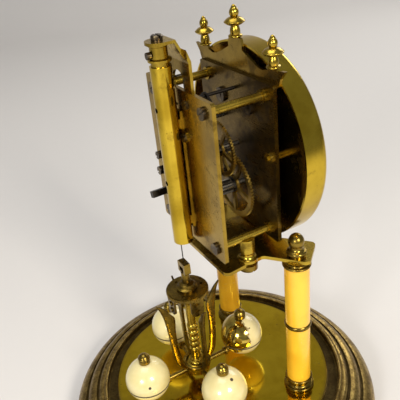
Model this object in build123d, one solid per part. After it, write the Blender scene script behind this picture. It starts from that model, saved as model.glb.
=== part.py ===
from build123d import *
import math
import os

os.makedirs("parts", exist_ok=True)

# Torsion pendulum clock under its base-to-finial frame, all sizes in mm.
# +Z is up, the dial faces -Y, the pendulum hangs behind at +Y.
# The origin is the middle of the base on the table.

# clearances
running_gap = 0.05
screw_gap = 0.05
free_gap = 0.3
working_gap = 0.5

# base
base_radius = 95.5
base_top = 27.5
shell_wall = 1.6
disc_radius = 66.0
disc_thickness = 2.5
groove_width = 6.6
groove_depth = 4.5

# columns and platform
column_half_spacing = 38.6
column_y = -31.9
column_height = 88.0
sleeve_radius = 6.9
foot_height = 7.5
ring_height = 3.0
collar_height = 4.0
rod_radius = 2.0
platform_thickness = 2.0

# movement frame
plate_width = 66.8
plate_height = 84.6
plate_thickness = 2.0
plate_space = 30.5
back_face = 8.0
plate_lift = 7.9
pillar_radius = 2.25
pillar_inset = 8.0
pillar_low = 6.0
pillar_high = 6.3
post_x = 26.0
post_y = -9.5
post_radius = 4.5

# dial, bezel and gallery
dial_level = 46.2
bezel_radius = 52.7
bezel_wall = 1.0
bezel_depth = 10.0
bezel_lip = 7.3
dial_post_x = 29.0
gallery_thickness = 1.5

# suspension
tube_y = 14.1
tube_radius = 5.25
tube_wall = 0.8
pendulum_y = 16.0
spring_width = 0.8
spring_thickness = 0.3
fork_height = 3.0

# pendulum
ball_radius = 13.0
ball_orbit = 32.8
ball_clearance = 6.0
ball_travel = 1.5
regulating_radius = 12.1
regulating_thickness = 2.2
hook_drop = 13.9

# levels and depths that follow from the sizes above
column_top = base_top + column_height
platform_bottom = column_top + collar_height
platform_top = platform_bottom + platform_thickness
plate_bottom = platform_top + plate_lift
plate_top = plate_bottom + plate_height
dial_z = plate_bottom + dial_level
back_inner = back_face - plate_thickness
front_inner = back_inner - plate_space
front_face = front_inner - plate_thickness
gallery_face = front_face - gallery_thickness
pillar_x = plate_width / 2 - pillar_inset
pillar_z = (plate_bottom + pillar_low, plate_top - pillar_high)
ball_z = base_top + ball_clearance + ball_radius
pendulum_foot = base_top + ball_clearance
tube_bottom = plate_bottom + 0.5
hook_top = tube_bottom - hook_drop
saddle_bottom = plate_top + 15.0
saddle_top = saddle_bottom + 6.8
fork_z = plate_top + 4.5


def lift(point):
    return (point[0], 0, point[1])


def outline(start, *steps):
    # closed face in the XZ plane; a step is a point, or a pair (point on the arc, end of the arc)
    edges = []
    here = start
    for step in steps:
        if isinstance(step[0], tuple):
            edges.append(ThreePointArc(lift(here), lift(step[0]), lift(step[1])))
            here = step[1]
        else:
            edges.append(Line(lift(here), lift(step)))
            here = step
    edges.append(Line(lift(here), lift(start)))
    return make_face(edges)


def turned(x, y, start, *steps):
    # solid of revolution about the upright line through (x, y), from (radius, height) points
    return Pos(x, y, 0) * revolve(outline(start, *steps), Axis.Z)


def upright(x, y, radius, low, high):
    return Pos(x, y, (low + high) / 2) * Cylinder(radius, high - low)


def level_rod(x, z, radius, front, back):
    # round bar along Y between two depths
    return Pos(x, (front + back) / 2, z) * Rot(90, 0, 0) * Cylinder(radius, back - front)


def block(x0, x1, y0, y1, z0, z1):
    return Pos((x0 + x1) / 2, (y0 + y1) / 2, (z0 + z1) / 2) * Box(x1 - x0, y1 - y0, z1 - z0)


def sheet(points, front, back):
    # flat plate cut to (x, z) points, standing between two depths
    face = make_face(Polyline(*[(x, front, z) for x, z in points], close=True))
    return extrude(face, back - front, dir=(0, 1, 0))


def save(name, *solids):
    pieces = []
    for solid in solids:
        pieces.extend(solid.solids())
    whole = pieces[0] if len(pieces) == 1 else Compound(pieces)
    export_step(whole, f"parts/{name}.step")


def tooth_points(centre, teeth, module, phase, addendum, dedendum, root_share, tip_share):
    radius = teeth * module / 2
    pitch = 2 * math.pi / teeth
    points = []
    for tooth in range(teeth):
        middle = phase + tooth * pitch
        for side, reach, share in (
            (-1, radius - dedendum * module, root_share),
            (-1, radius + addendum * module, tip_share),
            (1, radius + addendum * module, tip_share),
            (1, radius - dedendum * module, root_share),
        ):
            angle = middle + side * share * pitch / 2
            points.append((centre[0] + reach * math.cos(angle), centre[1] + reach * math.sin(angle)))
    return points


def gear(centre, teeth, module, phase, front, back):
    return sheet(tooth_points(centre, teeth, module, phase, 0.7, 0.95, 0.5, 0.2), front, back)


def crossings(centre, hub, rim, spoke, arms, front, back):
    # the windows between the spokes of a wheel
    ring = level_rod(*centre, rim, front - 1, back + 1) - level_rod(*centre, hub, front - 1, back + 1)
    middle = (front + back) / 2
    for arm in range(arms):
        bar = Pos(rim / 2, 0, 0) * Box(rim + 2, back - front + 4, spoke)
        ring -= Pos(centre[0], middle, centre[1]) * Rot(0, 360 / arms * arm + 20, 0) * bar
    return ring


def bearing(first, second):
    return math.atan2(second[1] - first[1], second[0] - first[0])


def mesh_phases(wheel, pinion, leaves):
    # a wheel tooth points at the pinion and a pinion gap points back at it
    toward = bearing(wheel, pinion)
    return toward, toward + math.pi + math.pi / leaves


# going train: tooth counts, modules and centres (x, z)
barrel_teeth = 56
second_leaves = 12
second_teeth = 60
centre_leaves = 10
slow_module = 0.6
centre_teeth = 60
third_leaves = 10
third_teeth = 48
escape_leaves = 12
fast_module = 0.5
barrel_reach = (barrel_teeth + second_leaves) * slow_module / 2
second_reach = (second_teeth + centre_leaves) * slow_module / 2
third_reach = (centre_teeth + third_leaves) * fast_module / 2
escape_reach = (third_teeth + escape_leaves) * fast_module / 2
centre_at = (0.0, dial_z)
second_x = -4.34
second_at = (second_x, dial_z - math.sqrt(second_reach**2 - second_x**2))
barrel_x = 16.0
barrel_at = (barrel_x, second_at[1] - math.sqrt(barrel_reach**2 - (barrel_x - second_x) ** 2))
third_x = 12.5
third_at = (third_x, dial_z + math.sqrt(third_reach**2 - third_x**2))
escape_at = (0.0, third_at[1] + math.sqrt(escape_reach**2 - third_x**2))
anchor_reach = 9.5
anchor_at = (0.0, escape_at[1] + anchor_reach)
pivot_radius = 0.7
winding_radius = 2.5
barrel_pivot = 1.2
centre_arbor_radius = 1.2

# motion works behind the dial
motion_reach = 10.0
motion_angle = math.radians(225)
motion_at = (motion_reach * math.cos(motion_angle), dial_z + motion_reach * math.sin(motion_angle))
cannon_leaves = 12
minute_teeth = 36
minute_leaves = 10
hour_teeth = 40
cannon_module = 2 * motion_reach / (cannon_leaves + minute_teeth)
hour_module = 2 * motion_reach / (minute_leaves + hour_teeth)
cannon_radius = 1.8
hour_tube_radius = 2.6
dial_back = gallery_face - 5.8
dial_plate_front = dial_back - 0.8
dial_front = dial_plate_front - 1.2

# spun base: a moulded outer shell with the dome groove, and the polished disc it carries
ledge = base_top - disc_thickness
groove_outer = disc_radius + groove_width
groove_floor = base_top - groove_depth
skirt = base_radius
shell_profile = [
    (disc_radius - 8, ledge),
    (disc_radius + free_gap, ledge),
    (disc_radius + free_gap, groove_floor),
    (groove_outer, groove_floor),
    (groove_outer, base_top - 1.6),
    ((groove_outer + 1.1, base_top - 0.6), (groove_outer + 2.2, base_top - 1.6)),
    (groove_outer + 2.4, base_top - 2.6),
    ((groove_outer + 4.6, base_top - 2.7), (groove_outer + 6.0, base_top - 4.4)),
    (groove_outer + 6.3, base_top - 5.4),
    (groove_outer + 7.2, base_top - 5.4),
    (groove_outer + 7.6, base_top - 4.6),
    ((groove_outer + 11.4, base_top - 5.8), (skirt - 9.3, base_top - 8.8)),
    (skirt - 9.3, base_top - 9.8),
    (skirt - 8.2, base_top - 9.8),
    (skirt - 7.8, base_top - 9.2),
    ((skirt - 2.6, base_top - 12.6), (skirt - 0.6, base_top - 19.5)),
    (skirt - 0.6, 5.5),
    ((skirt, 4.9), (skirt, 4.0)),
    (skirt, 0),
    (skirt - shell_wall - 0.6, 0),
    (skirt - shell_wall - 0.6, base_top - 20.0),
    ((skirt - 4.6, base_top - 14.2), (skirt - 10.5, base_top - 10.8)),
    (groove_outer + 7.0, base_top - 7.2),
    (groove_outer + 1.6, groove_floor - shell_wall),
    (disc_radius - 8, groove_floor - shell_wall),
]
save("base_shell", turned(0, 0, *shell_profile))

column_sites = [(-column_half_spacing, column_y), (column_half_spacing, column_y)]
disc = upright(0, 0, disc_radius, ledge, base_top)
disc = chamfer(disc.edges().group_by(Axis.Z)[-1], 0.4)
for x, y in column_sites:
    disc -= upright(x, y, rod_radius + screw_gap, 0, base_top + 1)
save("base_disc", disc)

# columns: foot, two enamelled sleeves parted by a ring, collar, acorn nut, on one threaded rod
bore = rod_radius + screw_gap
sleeve_low = base_top + foot_height
sleeve_length = (column_height - foot_height - ring_height) / 2
ring_low = sleeve_low + sleeve_length
ring_high = ring_low + ring_height
nut_low = ledge - 5.0
nut_high = platform_top + 13.5
feet = []
lower_sleeves = []
rings = []
upper_sleeves = []
collars = []
rods = []
rod_nuts = []
acorns = []
for x, y in column_sites:
    feet.append(
        turned(
            x, y, (bore, base_top), (sleeve_radius + 1.3, base_top),
            ((sleeve_radius + 1.9, base_top + 1.0), (sleeve_radius + 1.3, base_top + 2.0)),
            ((sleeve_radius - 0.6, base_top + 3.6), (sleeve_radius + 0.5, sleeve_low - 2.0)),
            ((sleeve_radius + 1.1, sleeve_low - 1.0), (sleeve_radius + 0.5, sleeve_low)),
            (bore, sleeve_low),
        )
    )
    for shelf, low in ((lower_sleeves, sleeve_low), (upper_sleeves, ring_high)):
        sleeve = upright(x, y, sleeve_radius, low, low + sleeve_length)
        sleeve -= upright(x, y, bore, low - 1, low + sleeve_length + 1)
        shelf.append(sleeve)
    rings.append(
        turned(
            x, y, (bore, ring_low), (sleeve_radius - 0.2, ring_low),
            ((sleeve_radius + 0.7, (ring_low + ring_high) / 2), (sleeve_radius - 0.2, ring_high)),
            (bore, ring_high),
        )
    )
    collars.append(
        turned(
            x, y, (bore, column_top), (sleeve_radius + 0.2, column_top),
            ((sleeve_radius + 0.9, column_top + 0.7), (sleeve_radius + 0.2, column_top + 1.4)),
            ((sleeve_radius - 1.2, column_top + 2.2), (sleeve_radius - 0.4, platform_bottom - 0.9)),
            (sleeve_radius, platform_bottom), (bore, platform_bottom),
        )
    )
    rods.append(upright(x, y, rod_radius, nut_low - 1.5, nut_high - 5.0))
    nut = extrude(Pos(x, y, nut_low) * RegularPolygon(4.2, 6), ledge - nut_low)
    rod_nuts.append(nut - upright(x, y, bore, nut_low - 1, ledge + 1))
    acorn = turned(
        x, y, (0, platform_top), (4.2, platform_top), (4.2, platform_top + 1.3),
        ((5.4, platform_top + 2.3), (4.6, platform_top + 3.4)),
        ((3.4, platform_top + 4.4), (3.2, platform_top + 5.6)),
        ((4.2, platform_top + 9.3), (0.35, nut_high)), (0, nut_high),
    )
    acorns.append(acorn - upright(x, y, bore, platform_top - 1, nut_high - 4.8))
save("column_feet", *feet)
save("column_lower_sleeves", *lower_sleeves)
save("column_rings", *rings, *collars)
save("column_upper_sleeves", *upper_sleeves)
save("column_rods", *rods, *rod_nuts)
save("column_acorn_nuts", *acorns)

# platform: a waisted plate with two diagonal arms out to the columns
arm_x = column_half_spacing
platform_half = [
    (31.0, 7.0), (28.5, -17.5), (arm_x + 9.9, column_y - 1.1),
    (arm_x - 3.1, column_y - 15.6), (20.0, column_y - 3.1),
]
platform_points = platform_half + [(-x, y) for x, y in reversed(platform_half)]
platform_face = make_face(Polyline(*[(x, y, platform_bottom) for x, y in platform_points], close=True))
platform = extrude(platform_face, platform_thickness, dir=(0, 0, 1))
platform = fillet(platform.edges().filter_by(Axis.Z), 3.0)
post_sites = [(-post_x, post_y), (post_x, post_y)]
bolt_radius = 1.6
bolt_head = 3.8
for x, y in column_sites:
    platform -= upright(x, y, bore, platform_bottom - 1, platform_top + 1)
for x, y in post_sites:
    platform -= upright(x, y, bolt_radius + screw_gap, platform_bottom - 1, platform_top + 1)
save("movement_platform", platform)

posts = []
bolts = []
post_top = pillar_z[0] - 0.6
for x, y in post_sites:
    side = math.copysign(1, x)
    post = turned(
        x, y, (0, platform_top), (post_radius + 0.9, platform_top), (post_radius + 0.9, platform_top + 1.6),
        ((post_radius - 0.9, platform_top + 3.2), (post_radius - 0.4, platform_top + 5.5)),
        (post_radius - 0.4, post_top), (0, post_top),
    )
    post -= upright(x, y, bolt_radius + screw_gap, platform_top - 1, post_top + 1)
    post -= level_rod(side * pillar_x, pillar_z[0], pillar_radius + screw_gap, post_y - 10, post_y + 10)
    posts.append(post)
    head = turned(
        x, y, (0, platform_bottom - bolt_head), (4.6, platform_bottom - bolt_head),
        (5.2, platform_bottom - bolt_head + 0.6),
        (5.2, platform_bottom), (0, platform_bottom),
    )
    head -= block(
        x - 7, x + 7, y - 0.5, y + 0.5, platform_bottom - bolt_head - 1, platform_bottom - bolt_head + 1
    )
    bolts.append(head + upright(x, y, bolt_radius, platform_bottom - 1, pillar_z[0] - pillar_radius + 1.2))
save("movement_posts", *posts)
save("platform_bolts", *bolts)

# movement plates with their pillars
pillar_sites = [(side * pillar_x, z) for z in pillar_z for side in (-1, 1)]
gallery_sites = [(-12.7, plate_top - 15.0), (12.7, plate_top - 15.0)]
bracket_sites = [(-9.2, plate_top - 6.6), (9.2, plate_top - 6.6)]
dial_sites = [(-dial_post_x, dial_z + 1.4), (dial_post_x, dial_z + 1.4)]
strap_sites = [(-5.6, dial_z + 14.4), (5.6, dial_z - 25.6)]
screw_radius = 1.2
click_at = (barrel_at[0] + 10.3, barrel_at[1] + 7.1)
click_post_at = (barrel_at[0] + 11.0, barrel_at[1] + 16.0)
plate_outline = [
    (-plate_width / 2, plate_bottom), (plate_width / 2, plate_bottom),
    (plate_width / 2, plate_top), (-plate_width / 2, plate_top),
]


def plate_blank(front):
    blank = sheet(plate_outline, front, front + plate_thickness)
    return fillet(blank.edges().filter_by(Axis.Y), 1.5)


back_plate = plate_blank(back_inner)
front_plate = plate_blank(front_face)
for x, z in pillar_sites:
    back_plate -= level_rod(x, z, screw_radius + screw_gap, back_inner - 1, back_face + 1)
    front_plate -= level_rod(x, z, screw_radius + screw_gap, front_face - 1, front_inner + 1)
for x, z in bracket_sites + strap_sites:
    back_plate -= level_rod(x, z, screw_radius + screw_gap, back_inner - 1, back_face + 1)
for x, z in (click_at, click_post_at):
    back_plate -= level_rod(x, z, screw_radius + screw_gap, back_inner - 1, back_face + 1)
for x, z in gallery_sites + dial_sites + [motion_at]:
    front_plate -= level_rod(x, z, screw_radius + screw_gap, front_face - 1, front_inner + 1)
pivot_hole = pivot_radius + running_gap
for x, z in (second_at, third_at, escape_at, anchor_at, centre_at):
    back_plate -= level_rod(x, z, pivot_hole, back_inner - 1, back_face + 1)
for x, z in (second_at, third_at, escape_at, anchor_at):
    front_plate -= level_rod(x, z, pivot_hole, front_face - 1, front_inner + 1)
back_plate -= level_rod(*barrel_at, winding_radius + running_gap, back_inner - 1, back_face + 1)
front_plate -= level_rod(*barrel_at, barrel_pivot + running_gap, front_face - 1, front_inner + 1)
front_plate -= level_rod(*centre_at, centre_arbor_radius + running_gap, front_face - 1, front_inner + 1)
save("back_plate", back_plate)
save("front_plate", front_plate)

pillars = []
screws = []


def slotted_screw(x, z, seat, direction, head_radius, head_height, shank, length):
    # head standing off a surface at depth seat, towards direction along Y, shank going the other way
    top = seat + direction * head_height
    head = level_rod(x, z, head_radius, min(seat, top), max(seat, top))
    slot_floor = top - direction * head_height * 0.45
    low, high = sorted((slot_floor, top + direction))
    head -= Pos(x, (low + high) / 2, z) * Rot(0, 35, 0) * Box(head_radius * 3, high - low, 0.7)
    inner = seat - direction * length
    return head + level_rod(x, z, shank, min(seat, inner), max(seat, inner))


thread_depth = 4.0
for x, z in pillar_sites:
    pillar = level_rod(x, z, pillar_radius, front_inner, back_inner)
    pillar += level_rod(x, z, pillar_radius + 1.1, front_inner, front_inner + 1.6)
    pillar += level_rod(x, z, pillar_radius + 1.1, back_inner - 1.6, back_inner)
    pillar -= level_rod(x, z, screw_radius + screw_gap, front_inner - 1, front_inner + thread_depth)
    pillar -= level_rod(x, z, screw_radius + screw_gap, back_inner - thread_depth, back_inner + 1)
    if z == pillar_z[0]:
        side = math.copysign(1, x)
        pillar -= upright(side * post_x, post_y, bolt_radius + screw_gap, z - 5, z - pillar_radius + 1.25)
    pillars.append(pillar)
    length = plate_thickness + thread_depth - 0.5
    screws.append(slotted_screw(x, z, back_face, 1, 3.1, 1.5, screw_radius, length))
    screws.append(slotted_screw(x, z, front_face, -1, 2.6, 1.0, screw_radius, length))
save("plate_pillars", *pillars)

# gallery: flat crest standing on the front plate behind the bezel, with three turned finials
crest = dial_z + 45.8
side_finial_x = 30.5
spire_top = crest + 9.0
gallery_half = [
    (0, plate_top - 20), (16.5, plate_top - 20), (17.5, plate_top - 6), (20.5, plate_top - 3.0),
    (33.0, plate_top - 1.8), (35.0, plate_top - 0.5),
    (36.4, crest - 4), (39.8, crest), (36.4, crest - 0.3), (side_finial_x + 3.4, crest - 0.9),
    (side_finial_x + 3.2, crest), (side_finial_x + 1.0, crest), (side_finial_x + 1.0, crest + 2.2),
    (side_finial_x - 1.0, crest + 2.2), (side_finial_x - 1.0, crest), (side_finial_x - 3.2, crest),
    (side_finial_x - 4.2, crest - 1.6), (22.5, crest - 2.6), (18.7, crest - 2.0), (13.0, crest + 0.2),
    (8.6, crest + 2.4), (6.0, crest + 3.6), (6.2, crest + 5.4), (5.0, spire_top), (1.2, spire_top),
    (1.2, spire_top + 2.6), (0, spire_top + 2.6),
]
gallery_points = gallery_half + [(-x, z) for x, z in reversed(gallery_half[1:-1])]
gallery = sheet(gallery_points, gallery_face, front_face)
for x, z in gallery_sites:
    gallery -= level_rod(x, z, screw_radius + screw_gap, gallery_face - 1, front_face + 1)
save("crown_gallery", gallery)

gallery_middle = (gallery_face + front_face) / 2


def finial(x, seat, size, tenon_half, tenon_height):
    rise = size
    body = turned(
        x, gallery_middle, (0, seat), (3.1 * rise, seat),
        ((3.5 * rise, seat + 0.5 * rise), (3.1 * rise, seat + 1.1 * rise)),
        (2.5 * rise, seat + 1.4 * rise), ((2.5 * rise, seat + 3.2 * rise), (1.9 * rise, seat + 5.4 * rise)),
        ((3.4 * rise, seat + 5.9 * rise), (5.0 * rise, seat + 7.0 * rise)),
        ((5.2 * rise, seat + 7.35 * rise), (4.9 * rise, seat + 7.7 * rise)),
        ((3.4 * rise, seat + 9.0 * rise), (1.7 * rise, seat + 9.6 * rise)),
        ((2.35 * rise, seat + 11.3 * rise), (1.5 * rise, seat + 13.6 * rise)),
        ((0.9 * rise, seat + 14.7 * rise), (0.35 * rise, seat + 15.2 * rise)), (0, seat + 15.2 * rise),
    )
    gap = screw_gap
    return body - block(
        x - tenon_half - gap, x + tenon_half + gap, gallery_face - gap, front_face + gap,
        seat - 1, seat + tenon_height + gap,
    )


save("centre_finial", finial(0, spire_top, 1.0, 1.2, 2.6))
side_size = 0.97
save("side_finials", *[finial(side * side_finial_x, crest, side_size, 1.0, 2.2) for side in (-1, 1)])

nuts = []
for x, z in gallery_sites:
    grip = plate_thickness + gallery_thickness + 1.9
    screws.append(slotted_screw(x, z, gallery_face, -1, 2.5, 1.2, screw_radius, grip))
    nut = level_rod(x, z, 4.0, front_inner, front_inner + 1.6)
    nuts.append(nut - level_rod(x, z, screw_radius + screw_gap, front_inner - 1, front_inner + 3))

# dial: posts, brass backing, enamelled face and the deep bezel ring
dial_posts = []
for x, z in dial_sites:
    post = level_rod(x, z, 2.2, dial_back, front_face)
    post += level_rod(x, z, screw_radius, front_face, front_inner + 2.4)
    dial_posts.append(post)
    nut = level_rod(x, z, 2.8, front_inner, front_inner + 1.5)
    nuts.append(nut - level_rod(x, z, screw_radius + screw_gap, front_inner - 1, front_inner + 3))
save("dial_posts", *dial_posts)

bezel_inner = bezel_radius - bezel_wall
opening = bezel_radius - bezel_lip
dial_hole = hour_tube_radius + 0.6
dial_plate = level_rod(*centre_at, bezel_inner - 0.02, dial_plate_front, dial_back)
dial_plate -= level_rod(*centre_at, dial_hole, dial_plate_front - 1, dial_back + 1)
save("dial_plate", dial_plate)
dial_face = level_rod(*centre_at, opening + 2.8, dial_front, dial_plate_front)
dial_face = fillet(dial_face.edges().sort_by(Axis.Y)[:1], 0.8)
dial_face -= level_rod(*centre_at, dial_hole, dial_front - 1, dial_plate_front + 1)
save("dial_face", dial_face)

wall_front = gallery_face - bezel_depth
bezel_steps = [
    (bezel_inner, gallery_face), (bezel_radius, gallery_face), (bezel_radius, wall_front),
    ((bezel_radius - 1.1, wall_front - 2.4), (bezel_radius - 3.6, wall_front - 3.2)),
    ((opening + 1.3, wall_front - 2.2), (opening, dial_front - 0.1)),
    (opening + 1.1, dial_front - 0.1),
    ((opening + 2.2, wall_front - 1.4), (bezel_radius - 3.6, wall_front - 2.2)),
    ((bezel_inner - 0.6, wall_front - 1.6), (bezel_inner, wall_front + 0.2)),
]
bezel_edges = []
here = bezel_steps[0]
for step in bezel_steps[1:]:
    if isinstance(step[0], tuple):
        bezel_edges.append(ThreePointArc(here, step[0], step[1]))
        here = step[1]
    else:
        bezel_edges.append(Line(here, step))
        here = step
bezel_edges.append(Line(here, bezel_steps[0]))
bezel = revolve(make_face(bezel_edges), Axis.Y)
save("bezel", Pos(0, 0, dial_z) * bezel)

# suspension: bent bracket, clamping saddle and the guard tube with its strap
leg_outer = 12.5
leg_inner = 6.0
leg_back = back_inner
leg_front = back_inner - 1.5
leg_low = plate_top - 13.5
bend_z = plate_top + 13.0
tab_low = saddle_top
tab_high = saddle_top + 1.4
tab_start = tube_y - 6.9
leg_face = make_face(
    Polyline((leg_front, leg_low), (leg_back, leg_low), (leg_back, bend_z), (tab_start + 1.6, tab_low),
             (tube_y + 6.0, tab_low), (tube_y + 6.0, tab_high), (tab_start + 0.7, tab_high),
             (leg_front, bend_z + 0.8), close=True)
)
side_view = Plane(origin=(-leg_outer, 0, 0), x_dir=(0, 1, 0), z_dir=(1, 0, 0))
bracket = extrude(side_view * leg_face, 2 * leg_outer, dir=(1, 0, 0))
arch_spring = plate_top + 2.0
bracket -= block(-leg_inner, leg_inner, leg_front - 2, leg_back + 0.5, leg_low - 1, arch_spring)
bracket -= level_rod(0, arch_spring, leg_inner, leg_front - 2, leg_back + 0.5)
tab_blank = block(-leg_outer - 1, leg_outer + 1, leg_back + 0.5, tube_y + 7, plate_top + 11, tab_high + 1)
tab_keep = block(-6.0, 6.0, leg_back, tube_y, plate_top + 10, tab_high + 1)
tab_keep += upright(0, tube_y, 6.0, plate_top + 10, tab_high + 1)
taper = sheet([(-leg_outer, plate_top + 8), (leg_outer, plate_top + 8), (6.0, tab_low + 0.5), (-6.0, tab_low + 0.5)],
              leg_front - 1, tab_start + 3)
bracket -= tab_blank - tab_keep - taper
bracket -= upright(0, tube_y, 1.4 + screw_gap, tab_low - 1, tab_high + 1)
for x, z in bracket_sites:
    bracket -= level_rod(x, z, screw_radius + screw_gap, leg_front - 1, leg_back + 1)
save("suspension_bracket", bracket)

tube_top = plate_top + 11.7
tube_bore = tube_radius - tube_wall
neck_low = tube_top - 3.0
wire_bore = spring_width / 2 + free_gap + 0.1
saddle = turned(
    0, tube_y, (0, neck_low), (tube_bore - screw_gap, neck_low), (tube_bore - screw_gap, saddle_bottom - 1.0),
    (tube_radius + 0.4, saddle_bottom - 1.0), (tube_radius + 0.4, saddle_bottom), (4.2, saddle_bottom + 0.5),
    (4.2, saddle_top - 1.2), (4.8, saddle_top - 0.8), (4.8, saddle_top), (0, saddle_top),
)
saddle -= upright(0, pendulum_y, wire_bore, neck_low - 1, saddle_bottom + 4.0)
saddle -= upright(0, tube_y, 1.4 + screw_gap, saddle_top - 1.8, saddle_top + 1)
side_screw_z = saddle_bottom + 2.2
side_screw_start = pendulum_y + wire_bore + 0.5
saddle -= level_rod(0, side_screw_z, 0.8 + screw_gap, side_screw_start, tube_y + 8)
save("suspension_saddle", saddle)
top_screw = turned(
    0, tube_y, (0, saddle_top - 1.6), (1.4, saddle_top - 1.6), (1.4, tab_high), (2.9, tab_high),
    (2.9, tab_high + 2.0), (2.3, tab_high + 2.6), (0, tab_high + 2.6),
)
top_screw -= block(-4, 4, tube_y - 0.4, tube_y + 0.4, tab_high + 1.5, tab_high + 4)
screws.append(top_screw)
side_screw = level_rod(0, side_screw_z, 0.8, side_screw_start + 0.1, tube_y + 4.3)
screws.append(side_screw + level_rod(0, side_screw_z, 1.7, tube_y + 4.3, tube_y + 6.4))

tube = upright(0, tube_y, tube_radius, tube_bottom, tube_top)
tube -= upright(0, tube_y, tube_bore, tube_bottom - 1, tube_top + 1)
window_half = 3.2
tube -= block(-window_half, window_half, tube_y - tube_radius - 1, tube_y - 1.5,
              fork_z - fork_height / 2 - 1.2, fork_z + fork_height / 2 + 1.2)
for height in (dial_z - 9.6, dial_z + 29.4):
    tube -= level_rod(0, height, 1.3, tube_y + 2, tube_y + 8)
save("suspension_tube", tube)

strap_thickness = 0.8
strap = sheet([(-3.0, dial_z - 38), (3.0, dial_z - 38), (3.0, dial_z + 27), (-3.0, dial_z + 27)],
              back_face, back_face + strap_thickness)
for x, z in strap_sites:
    strap += level_rod(x, z, 2.7, back_face, back_face + strap_thickness)
strap += block(-2.6, 2.6, back_face, tube_y - 2.5, dial_z - 36, dial_z - 31)
strap += block(-2.6, 2.6, back_face, tube_y - 2.5, dial_z + 18, dial_z + 23)
strap -= upright(0, tube_y, tube_radius + 0.01, tube_bottom, tube_top)
for x, z in strap_sites:
    strap -= level_rod(x, z, screw_radius + screw_gap, back_face - 1, back_face + 3)
    screws.append(slotted_screw(x, z, back_face + strap_thickness, 1, 2.1, 1.3, screw_radius, 2.2))
save("tube_strap", strap)
for x, z in bracket_sites:
    screws.append(slotted_screw(x, z, back_face, 1, 2.3, 1.2, screw_radius, plate_thickness + 1.4))

# barrel with its mainspring, winding arbor, ratchet and click
drum_front = back_inner - 14.0
drum_back = back_inner - 2.0
drum_radius = 15.5
rim_front = drum_front - 2.5
rim_back = drum_front - 0.5
drum_wall = 1.0
core_radius = 3.4
toward_second = bearing(barrel_at, second_at)
barrel = gear(barrel_at, barrel_teeth, slow_module, toward_second, rim_front, rim_back)
barrel += level_rod(*barrel_at, drum_radius, rim_back, drum_back)
barrel -= level_rod(*barrel_at, drum_radius - drum_wall, drum_front + 0.6, drum_back + 1)
barrel -= level_rod(*barrel_at, winding_radius + running_gap, rim_front - 1, drum_back)
save("mainspring_barrel", barrel)
cover = level_rod(*barrel_at, drum_radius - drum_wall - 0.02, drum_back - 1.0, drum_back)
cover -= level_rod(*barrel_at, winding_radius + running_gap, drum_back - 2, drum_back + 1)
cover -= level_rod(barrel_at[0] - 9, barrel_at[1] + 4, 1.0, drum_back - 2, drum_back + 1)
save("barrel_cover", cover)
spring_front = drum_front + 0.9
spring_back = drum_back - 1.3
coils = []
coil_radius = core_radius + 0.4
while coil_radius + 0.45 < drum_radius - drum_wall - 0.25:
    coil = level_rod(*barrel_at, coil_radius + 0.45, spring_front, spring_back)
    coil -= level_rod(*barrel_at, coil_radius, spring_front - 1, spring_back + 1)
    coils.append(coil)
    coil_radius += 0.95
turns = coils[0]
for coil in coils[1:]:
    turns += coil
turns += block(barrel_at[0] + core_radius + 0.5, barrel_at[0] + coil_radius - 0.6, spring_front, spring_back,
               barrel_at[1] - 0.2, barrel_at[1] + 0.2)
save("mainspring", turns)

arbor_end = back_face + 14.0
square_start = back_face + 3.0
winding = level_rod(*barrel_at, barrel_pivot, front_face + 0.4, rim_front - 1.0)
winding += level_rod(*barrel_at, winding_radius, rim_front - 1.0, square_start)
winding += level_rod(*barrel_at, core_radius - 0.2, spring_front, spring_back)
square = Pos(barrel_at[0], (square_start + arbor_end) / 2, barrel_at[1]) * Rot(0, 20, 0)
winding += square * Box(winding_radius * 1.4, arbor_end - square_start, winding_radius * 1.4)
save("winding_arbor", winding)

ratchet_front = back_face + 0.4
ratchet_back = ratchet_front + 1.5
ratchet_teeth = 24
ratchet_radius = 7.0
ratchet_root = 6.2
tip_angle = math.radians(75)
ratchet_points = []
for tooth in range(ratchet_teeth):
    angle = tip_angle + tooth * 2 * math.pi / ratchet_teeth
    for reach, turn in ((ratchet_root, angle), (ratchet_radius, angle + 0.04)):
        ratchet_points.append((barrel_at[0] + reach * math.cos(turn), barrel_at[1] + reach * math.sin(turn)))
ratchet = sheet(ratchet_points, ratchet_front, ratchet_back)
ratchet -= level_rod(*barrel_at, winding_radius + 0.01, ratchet_front - 1, ratchet_back + 1)
save("ratchet_wheel", ratchet)

beak_reach = ratchet_root + 0.35
beak_turn = tip_angle - 0.03
beak = (barrel_at[0] + beak_reach * math.cos(beak_turn), barrel_at[1] + beak_reach * math.sin(beak_turn))
click = sheet(
    [beak, (beak[0] + 0.3, beak[1] + 2.0), (click_at[0] - 0.5, click_at[1] + 2.3), (click_at[0] + 1.0, click_at[1] - 2.2),
     (click_at[0] - 2.0, click_at[1] - 1.2), (beak[0] + 1.6, beak[1] + 0.4)], ratchet_front, ratchet_back,
)
click += level_rod(*click_at, 2.4, ratchet_front, ratchet_back)
click -= level_rod(*click_at, screw_radius + 0.3 + running_gap, ratchet_front - 1, ratchet_back + 1)
save("click", click)
click_screw = slotted_screw(*click_at, ratchet_back + 0.4, 1, 2.4, 1.3, screw_radius, ratchet_back + 0.4 - back_inner)
click_screw += level_rod(*click_at, screw_radius + 0.3, back_face, ratchet_back + 0.4)
screws.append(click_screw)
spring_foot = level_rod(*click_post_at, 2.2, back_face, ratchet_back)
contact = (click_at[0] - 3.2, click_at[1] + 2.55)
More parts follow.
